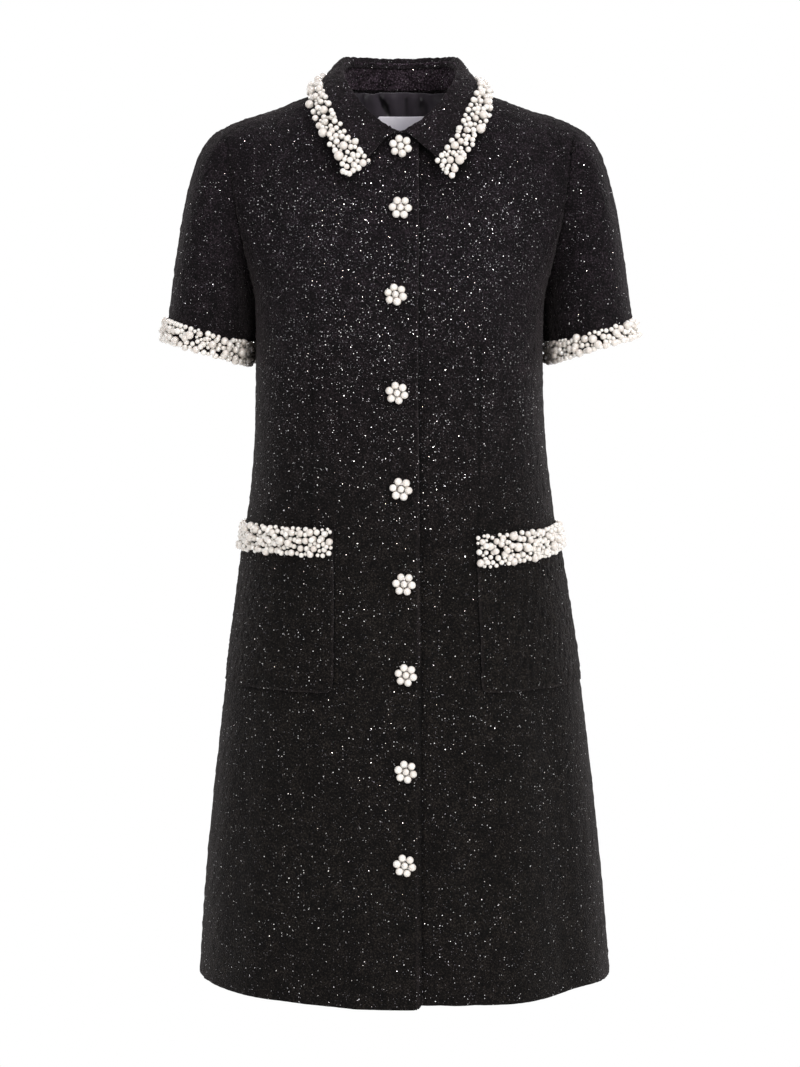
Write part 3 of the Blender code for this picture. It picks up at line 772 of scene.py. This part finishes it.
# Upright creases in the satin, in mm: x and z at both ends, width, depth towards the neck.
liningFolds = (
    (-21, -8, -16, -16, 2.6, -3.4), (-16, -16, -11, -26, 3.0, -3.6), (-28, -8, -25, -26, 5, 2.6),
    (-6, -10, -5, -26, 4, 2.4), (6, -10, 6, -42, 1.6, -3.2), (15, -10, 17, -30, 4, 2.2),
    (22, -13, 21, -17, 2.6, -2.8), (33, -8, 32, -40, 5, 1.6), (28, -18, 26, -40, 5, -2.6),
    (-38, -8, -36, -40, 4, -1.8), (-52, -10, -50, -60, 6, -2.0), (52, -10, 48, -70, 7, -2.2),
    (-66, -12, -60, -90, 8, 2.0), (70, -20, 66, -100, 8, 2.2)
)
neckSatin = {  # in mm
    "gap": 2.4, "seen": (20, 45),  # how far the satin hangs off the back, where it is seen
    "labelSide": (42, 34), "labelTop": (27, 33),  # it lies flat under the label
    "push": (-3, 5), "wall": 0.5,
}
sheet = smoothSheet("neckLining", skinOf("back_lining", outside=False), 3, satin)
points = pointsOf(sheet)
x, y, z = (points / mm).T
inSight = rising(y, *neckSatin["seen"])
underLabel = rising(np.abs(x), *neckSatin["labelSide"]) * rising(-z, *neckSatin["labelTop"])
push = sum(nearLine(x, z, row) for row in liningFolds) * inSight * (1 - underLabel)
off = (np.clip(push, *neckSatin["push"]) + neckSatin["gap"] * inSight) * mm
setPoints(sheet, points + normalsOf(sheet) * off[:, None])
fold = sheet.attributes.new("fold", "FLOAT", "POINT")
fold.data.foreach_set("value", push.astype(np.float32))
lining = cloth["neckLining"]
giveWall(lining, neckSatin["wall"], 0)
finishPiece(lining, "back_lining")

labelForm = {"off": 1.2, "bow": 0.5, "bowWidth": 11, "wall": 0.5, "edge": 0.15}  # in mm
sheet = smoothSheet("blankLabel", skinOf("label", outside=False), 3, ribbon)
points = pointsOf(sheet)
bow = labelForm["bow"] * np.cos(points[:, 0] / mm / labelForm["bowWidth"])
points[:, 1] -= (labelForm["off"] + neckSatin["gap"] + bow) * mm
setPoints(sheet, points)
label = cloth["blankLabel"]
giveWall(label, labelForm["wall"], labelForm["edge"])
finishPiece(label, "label")
print("lining and label made")

# Pearls.


def bandOf(nodeName, centre, side):
    # The two long edges of a trim's inner face, point for point, from its end on that side.
    skin = skinOf(nodeName, centre, outside=False)
    loops, left = [], [v for v in skin.verts if v.is_boundary]
    while left:
        loop = []
        steps = [max(left, key=lambda v: v.co.x * side)]
        while steps:
            left.remove(steps[0])
            loop.append(steps[0])
            steps = [e.other_vert(loop[-1]) for e in loop[-1].link_edges if e.is_boundary]
            steps = sorted((v for v in steps if v in left), key=lambda v: v.co.z)
        loops.append([v.co.copy() for v in loop])
    skin.free()
    if len(loops) == 1:  # an open band: its border is cut at both ends
        loop, half = loops[0], len(loops[0]) // 2
        turns = [loop[k:] + loop[:k] for k in range(half)]
        pairs = [(row[:half], row[half:][::-1]) for row in turns]
    else:
        one, two = loops
        turns = [two[k:] + two[:k] for k in range(len(two))]
        turns += [row[::-1] for row in turns]
        pairs = [(one, row) for row in turns]
    upper, lower = min(pairs, key=lambda pair: sum((a - b).length for a, b in zip(*pair)))
    if sum(p.z for p in upper) < sum(p.z for p in lower):
        upper, lower = lower, upper
    closed = len(loops) == 2
    if closed:
        upper, lower = upper + upper[:1], lower + lower[:1]
    return upper, lower, closed


beadSpread = (0.93, 1.07)  # pearls of a size differ this much


def scatter(length, width, closed, layer, rng):
    # Beads of falling size, thrown where they hardly touch another, in mm.
    height, inset, overlap, sizes = layer
    found = np.empty((0, 4))
    for size, tries in sizes:
        for _ in range(int(tries * length / 400)):
            radius = size * rng.uniform(*beadSpread)
            s = rng.uniform(0, length) if closed else rng.uniform(radius * inset, length - radius * inset)
            t = rng.uniform(radius * inset, width - radius * inset)
            apart = np.abs(found[:, 0] - s)
            if closed:
                apart = np.minimum(apart, length - apart)
            room = np.hypot(apart, found[:, 1] - t) - found[:, 2] - radius
            if len(found) == 0 or room.min() > -overlap * radius:
                found = np.vstack([found, (s, t, radius, height)])
    return found


def beadTone(radius, rng):  # large beads are rosier than small ones
    return rng.uniform(0, 0.4) + (0.6 if radius > 3.3 else 0)


def bodyShade(place, bodies):  # painted shade: 1 close beside the body, 0 away from it
    return rising(min(tree.find_nearest(place)[3] for tree in bodies) / mm, 17, 5)


def addBead(mesh, tone, place, radius, subdivisions, value):
    made = bmesh.ops.create_icosphere(mesh, subdivisions=subdivisions, radius=radius * mm,
                                      matrix=Matrix.Translation(place))
    for vert in made["verts"]:
        vert[tone] = value


# What each band is laid on, in mm. Drop: how far the collar's sides come down, and its fronts. Side: where
# the band begins, on the wearer's right unless it says 1.
pearlBands = {
    "collarPearls": {"node": "collar_trim", "centre": collar["centre"], "on": "collarLeaf", "seed": 3,
                     "drop": 6.0, "frontDrop": 1.8},
    "cuffPearlsRight": {"node": "cuff_trim_right", "centre": (-198, -6), "on": "sleeveRight", "seed": 5},
    "cuffPearlsLeft": {"node": "cuff_trim_left", "centre": (198, -6), "on": "sleeveLeft", "seed": 8},
    "pocketPearlsRight": {"node": "pocket_trim_right", "centre": (0, 0), "on": "pocketRight", "seed": 11},
    "pocketPearlsLeft": {"node": "pocket_trim_left", "centre": (0, 0), "on": "pocketLeft", "seed": 14,
                         "side": 1},
}
# The collar band's two fronts: outline as x and z in mm, then the largest pearls with their radii.
collarFronts = (
    ((
        (-88, -20), (-86, -31), (-82, -41), (-78, -48), (-73, -54), (-68, -64), (-64, -71), (-60, -80),
        (-56, -89), (-51, -94), (-46, -92), (-40, -88), (-36, -84), (-31, -79), (-36, -73), (-40, -68),
        (-42, -61), (-48, -57), (-54, -50), (-58, -43), (-63, -36), (-67, -27), (-70, -19)
    ), (
        (-59.5, -75.5, 5), (-55, -65.5, 4.4), (-44, -62, 3.7), (-37, -82.5, 3.9), (-55.5, -90, 3.2),
        (-50, -92.5, 3), (-45.5, -84, 3.4), (-49.5, -79, 3.3), (-31, -79.5, 2.1), (-69, -64, 2.8),
        (-61.5, -61, 3.3), (-75, -52.5, 4.8), (-79.5, -45, 3.5), (-88, -23, 4.4), (-74, -30, 4.4),
        (-73, -41.5, 3.6), (-67, -50.5, 3.4), (-82.5, -37, 3.2), (-35.5, -75.5, 2.7), (-56.5, -83, 2.9),
        (-58.5, -43, 2.6), (-50.5, -56.5, 2.5)
    )),
    ((
        (72, -18), (67, -29), (64, -35), (60, -43), (57, -50), (52, -58), (47, -66), (42, -74),
        (37, -80), (40, -86), (45, -93), (51, -96), (55, -91), (61, -83), (64, -75), (68, -70),
        (72, -62), (75, -55), (81, -50), (84, -42), (88, -34), (90, -26), (90, -18)
    ), (
        (78, -48.5, 4.9), (81, -35, 4.7), (88, -27, 3.7), (58.5, -81, 4.8), (53.5, -66, 4.3),
        (53, -88.5, 3.8), (49.5, -80, 3.8), (37.5, -80, 2.9), (51, -94.5, 3.3), (45.5, -91.5, 2.7),
        (41.5, -85, 2.7), (67, -69.5, 2.9), (59.5, -61.5, 3.4), (74, -38, 3.4), (85.5, -21, 4.8),
        (65, -49.5, 3.4), (71, -59.5, 2.9), (67, -29.5, 3), (61, -73, 3.1), (76, -27, 3.2),
        (64, -34.5, 2.3), (59, -46.5, 2.5)
    )),
)
# The pearls between them: height over the cloth, least distance in both radii, then radius and tries.
frontLayers = (
    (0.0, 0.8, ((3.1, 300), (2.7, 900), (2.3, 1800), (1.9, 1800))),
    (2.4, 1.1, ((3.0, 14), (2.4, 26))),
)
# All other pearls: height, inset from the band's edge and overlap in radii, then radius and tries per 400 mm.
beadLayers = (
    (0.0, 0.35, 0.28, ((4.6, 16), (3.9, 50), (3.3, 240), (2.7, 1800), (2.2, 4500), (1.8, 5000))),
    (2.4, 1.30, -0.7, ((3.6, 14), (3.0, 40), (2.5, 90), (2.1, 90))),
)
beadSink = 0.8  # height of a bead's centre over its ground, in radii


def inOutline(x, z, outline):
    inside = False
    for (x0, z0), (x1, z1) in zip(outline, outline[1:] + outline[:1]):
        if (z0 > z) != (z1 > z) and x < (x1 - x0) * (z - z0) / (z1 - z0) + x0:
            inside = not inside
    return inside


def fillFronts(rng):
    found = []
    for outline, large in collarFronts:
        beads = [(px, pz, radius, 0.0) for px, pz, radius in large]
        xs, zs = zip(*outline)
        for height, apart, sizes in frontLayers:
            for size in (size for size, tries in sizes for _ in range(tries)):
                px, pz = rng.uniform(min(xs), max(xs)), rng.uniform(min(zs), max(zs))
                radius = size * rng.uniform(*beadSpread)
                if not inOutline(px, pz, outline):
                    continue
                same = [b for b in beads if b[3] == height]
                if all(math.hypot(px - b[0], pz - b[1]) > apart * (radius + b[2]) for b in same):
                    beads.append((px, pz, radius, height))
        found += beads
    return found


def pearlBand(name, item):
    upper, lower, closed = bandOf(item["node"], item["centre"], item.get("side", -1))
    middle = [(a + b) / 2 for a, b in zip(upper, lower)]
    steps = [(b - a).length / mm for a, b in zip(middle, middle[1:])]
    marks = np.concatenate([[0], np.cumsum(steps)])
    width = sum((a - b).length for a, b in zip(upper, lower)) / len(upper) / mm
    rng = np.random.default_rng(item["seed"])
    beads = np.vstack([scatter(marks[-1], width, closed, layer, rng) for layer in beadLayers])
    form = cloth[item["on"]].data
    ground = treeOf(form)
    mesh = bmesh.new()
    tone = mesh.verts.layers.float.new("tone")
    fronts = fillFronts(rng) if name == "collarPearls" else []
    bodies = [treeOf(cloth[panel].data) for panel in bodyPanels] if "cuff" in name else []
    for s, t, radius, height in beads:
        k = min(int(np.searchsorted(marks, s, side="right")) - 1, len(steps) - 1)
        share = (s - marks[k]) / steps[k]
        spot = upper[k].lerp(upper[k + 1], share).lerp(lower[k].lerp(lower[k + 1], share), t / width)
        if fronts:
            onFront = spot.y < frontFrom * mm
            if onFront and any(inOutline(spot.x / mm, spot.z / mm, row[0]) for row in collarFronts):
                continue
            spot.z -= item["drop"] * mm * rising(spot.y / mm, collar["frontFrom"], frontFrom)
        if name == "pocketPearlsLeft":
            across, up = lowerPocket(spot.x / mm, spot.z / mm)
            spot += Vector((across, 0, up)) * mm
        base, normal, _, _ = ground.find_nearest(spot)
        place = base + normal * (height + radius * beadSink) * mm
        # Painted shade: beads close beside the body are darker.
        near = bodyShade(place, bodies) if bodies else 0
        addBead(mesh, tone, place, radius, 2, 1 + near if near else beadTone(radius, rng))
    if fronts:
        leaf = [v for v in form.vertices if v.co.y < -15 * mm]
        flat = pointTree([Vector((v.co.x, 0, v.co.z)) for v in leaf])
    for px, pz, radius, height in fronts:
        pz -= item["frontDrop"]
        base, normal, _, _ = frontHit(ground, px * mm, pz * mm)
        if base is None:  # a bead that hangs over the edge
            vert = leaf[flat.find(Vector((px * mm, 0, pz * mm)))[1]]
            base, normal = Vector((px * mm, vert.co.y, pz * mm)), vert.normal
        place = base + normal * (height + radius * beadSink) * mm
        addBead(mesh, tone, place, radius, 2, beadTone(radius, rng))
    piece = newObject(name, mesh, pearl)
    finishPiece(piece, item["node"])
    print(name, len(piece.data.polygons) // 80, "pearls")


for name, item in pearlBands.items():
    pearlBand(name, item)

flower = {  # in mm
    "centre": 3.45, "petal": 3.85, "ring": 7.75, "petals": 6,
    "plate": 6.6, "plateTop": 0.94, "plateHeight": 1.4,  # the top as a share of the foot
    "cup": 2.8, "cupFoot": 0.7, "cupHeight": 2.0, "cupAt": 1.6,
    "stand": 3.0, "sunk": 0.35, "lift": 0.7,  # a pearl's seat, radii above it, the centre's lift
    "turn": 48, "turnBy": 9,  # in degrees
}
# They are sewn on by hand: how far each is from its even place, in mm across and up.
buttonShifts = ((-0.6, -2.2), (-0.4, -2.3), (-0.2, -2.7), (0.2, 1.6), (0, -0.6), (0.9, -0.4), (0.6, 2.2),
                (1.3, 2.6), (1.5, 5.0))


def addCone(mesh, place, segments, foot, top, height, offset):  # a plate or cup, in mm
    bmesh.ops.create_cone(mesh, cap_ends=True, segments=segments, radius1=foot * mm, radius2=top * mm,
                          depth=height * mm, matrix=place @ Matrix.Translation(Vector(offset) * mm))


def flowerButton(number, across, up, ground):
    low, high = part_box(f"button_{number}")
    middle = (low + high) / 2 + Vector((across, 0, up)) * mm
    base, normal, _, _ = frontHit(ground, middle.x, middle.z)
    normal = Vector((normal.x * 0.5, normal.y, normal.z)).normalized()
    rng = random.Random(number)
    turn = rng.uniform(-flower["turnBy"], flower["turnBy"]) + flower["turn"]
    place = Matrix.Translation(base) @ normal.to_track_quat("Z", "Y").to_matrix().to_4x4()
    mesh = bmesh.new()
    tone = mesh.verts.layers.float.new("tone")
    plate, height = flower["plate"], flower["plateHeight"]
    addCone(mesh, place, 24, plate, plate * flower["plateTop"], height, (0, 0, height / 2))
    spots = [(0.0, 0.0, flower["centre"], flower["lift"])]
    for k in range(flower["petals"]):
        angle = math.radians(turn + 360 / flower["petals"] * k)
        ring = flower["ring"] * rng.uniform(0.97, 1.03)
        petal = flower["petal"] * rng.uniform(0.96, 1.04)
        spots.append((ring * math.cos(angle), ring * math.sin(angle), petal, 0.0))
    cup = flower["cup"]
    for px, py, _, lift in spots:
        seat = (px, py, flower["cupAt"] + lift)
        addCone(mesh, place, 14, cup * flower["cupFoot"], cup, flower["cupHeight"], seat)
    metalFaces = len(mesh.faces)
    for px, py, radius, lift in spots:
        centre = place @ Vector((px * mm, py * mm, (flower["stand"] + lift + radius * flower["sunk"]) * mm))
        addBead(mesh, tone, centre, radius, 3, rng.uniform(0, 0.6))
    mesh.faces.ensure_lookup_table()
    for face in mesh.faces[:metalFaces]:
        face.material_index = 1
    finishPiece(newObject(f"flowerButton_{number}", mesh, pearl, silver), f"button_{number}")


frontTree = treeOf(cloth["frontRight"].data)
for number, (across, up) in enumerate(buttonShifts, 1):
    flowerButton(number, across, up, frontTree)
print("buttons made")

# Walls, once everything has been placed on the outer faces.

# Each piece's CAD node, wall in mm, flat size and area in metres, and what it is sewn to.
cuts = {
    "frontRight": ("front_right", 2.2, (0.325, 0.935), 0.236, ["backPanel", "collarStand"]),
    "frontLeft": ("front_left", 2.2, (0.325, 0.935), 0.236, ["backPanel", "collarStand"]),
    "backPanel": ("back", 2.0, (0.600, 0.930), 0.428, ["frontRight", "frontLeft"]),
    "sleeveRight": ("sleeve_right", 2.0, (0.350, 0.235), 0.046, ["frontRight", "backPanel"]),
    "sleeveLeft": ("sleeve_left", 2.0, (0.350, 0.235), 0.046, ["frontLeft", "backPanel"]),
    "pocketRight": ("pocket_right", 2.2, (0.180, 0.165), 0.029, ["frontRight"]),
    "pocketLeft": ("pocket_left", 2.2, (0.180, 0.165), 0.029, ["frontLeft"]),
    "collarLeaf": ("collar_leaf", 2.6, (0.500, 0.075), 0.0255, ["collarStand"]),
    "collarStand": ("collar_stand", 2.2, (0.440, 0.036), 0.0100, ["backPanel"]),
}
for name, (node, thickness, *_) in cuts.items():
    giveWall(cloth[name], thickness)
    finishPiece(cloth[name], node)
print("walls made")

# Floor, light and camera.

studio = {
    "floor": -1.22, "half": 30.0, "grain": 0.4,  # in metres
    "white": "#f2f2f2", "pale": "#f7f7f7", "backdrop": "#ffffff", "soft": 0.61,  # how bright the room is
    "place": (0, -3.0, -0.2069), "down": 4.779, "lens": 98.61, "sensor": 36,  # camera: metres, degrees, mm
}
lamps = {  # place, aim and size in metres, power in watts, tint
    "key": ((1.35, -3.0, 0.75), (0, 0, -0.30), (0.8, 0.8), 49, "#fffcf9"),
    "frontFill": ((-0.9, -3.3, -0.1), (0, 0, -0.35), (1.8, 1.4), 20, "#fffaf5"),
    "sideLeft": ((-2.4, -2.2, 1.0), (0, 0, -0.35), (1.4, 1.8), 16, "#fbf8ff"),
    "sideRight": ((2.5, -2.0, 1.2), (0, 0, -0.35), (1.2, 1.4), 50, "#fcf9ff"),
    "backLeft": ((-2.3, 2.0, 0.9), (0, 0, -0.4), (1.2, 2.0), 26),
    "backRight": ((2.3, 2.0, 0.9), (0, 0, -0.4), (1.2, 2.0), 38),
    "back": ((0.3, 3.6, 0.6), (0, 0, -0.4), (1.4, 1.0), 50),
    "top": ((0, -1.0, 2.4), (0, 0, 0), (1.6, 1.2), 30, "#f8f2ff"),
}


def blendForCamera(tree, lit, output):  # the camera sees plain white
    backdrop = {"Color": studio["backdrop"], "Strength": 1.0}
    seen = addNode(tree, "LightPath").outputs["Is Camera Ray"]
    plain = addNode(tree, output[0], backdrop).outputs[0]
    blend = addNode(tree, "MixShader", {0: seen, 1: lit, 2: plain})
    tree.links.new(blend.outputs[0], tree.nodes[output[1]].inputs["Surface"])


def paperFloor():
    # Matt white paper, exposed to plain white.
    mesh = bmesh.new()
    bmesh.ops.create_grid(mesh, size=studio["half"], matrix=Matrix.Translation((0, 0, studio["floor"])))
    material, tree, shader, spot = newMaterial("mattPaper")
    grain = noisy(tree, spot, studio["grain"] * 1000)
    feed(shader, {"Base Color": mixed(tree, grain, studio["white"], studio["pale"]), "Roughness": 0.9})
    blendForCamera(tree, shader.outputs["BSDF"], ("Emission", "Material Output"))
    newObject("paperFloor", mesh, material)


def softBox(name, place, aim, size, power, tint="#ffffff"):
    data = bpy.data.lights.new(name, "AREA")
    data.shape = "RECTANGLE"
    data.size, data.size_y = size
    data.energy = power
    data.color = hexColor(tint)[:3]
    lamp = placeObject(name, data)
    lamp.location = place
    lamp.rotation_euler = (Vector(aim) - Vector(place)).to_track_quat("-Z", "Y").to_euler()


paperFloor()
for name, settings in lamps.items():
    softBox(name, *settings)

world = bpy.data.worlds.new("studio")
world.use_nodes = True
soft = world.node_tree.nodes["Background"]
feed(soft, {"Color": studio["backdrop"], "Strength": studio["soft"]})
blendForCamera(world.node_tree, soft.outputs[0], ("Background", "World Output"))
bpy.context.scene.world = world
bpy.context.scene.view_settings.view_transform = "Standard"

lens = bpy.data.cameras.new("camera")
lens.sensor_width = studio["sensor"]
lens.lens = studio["lens"]
camera = placeObject("camera", lens)
camera.location = studio["place"]
camera.rotation_euler = (math.radians(90 - studio["down"]), 0, 0)
bpy.context.scene.camera = camera
print("studio made")
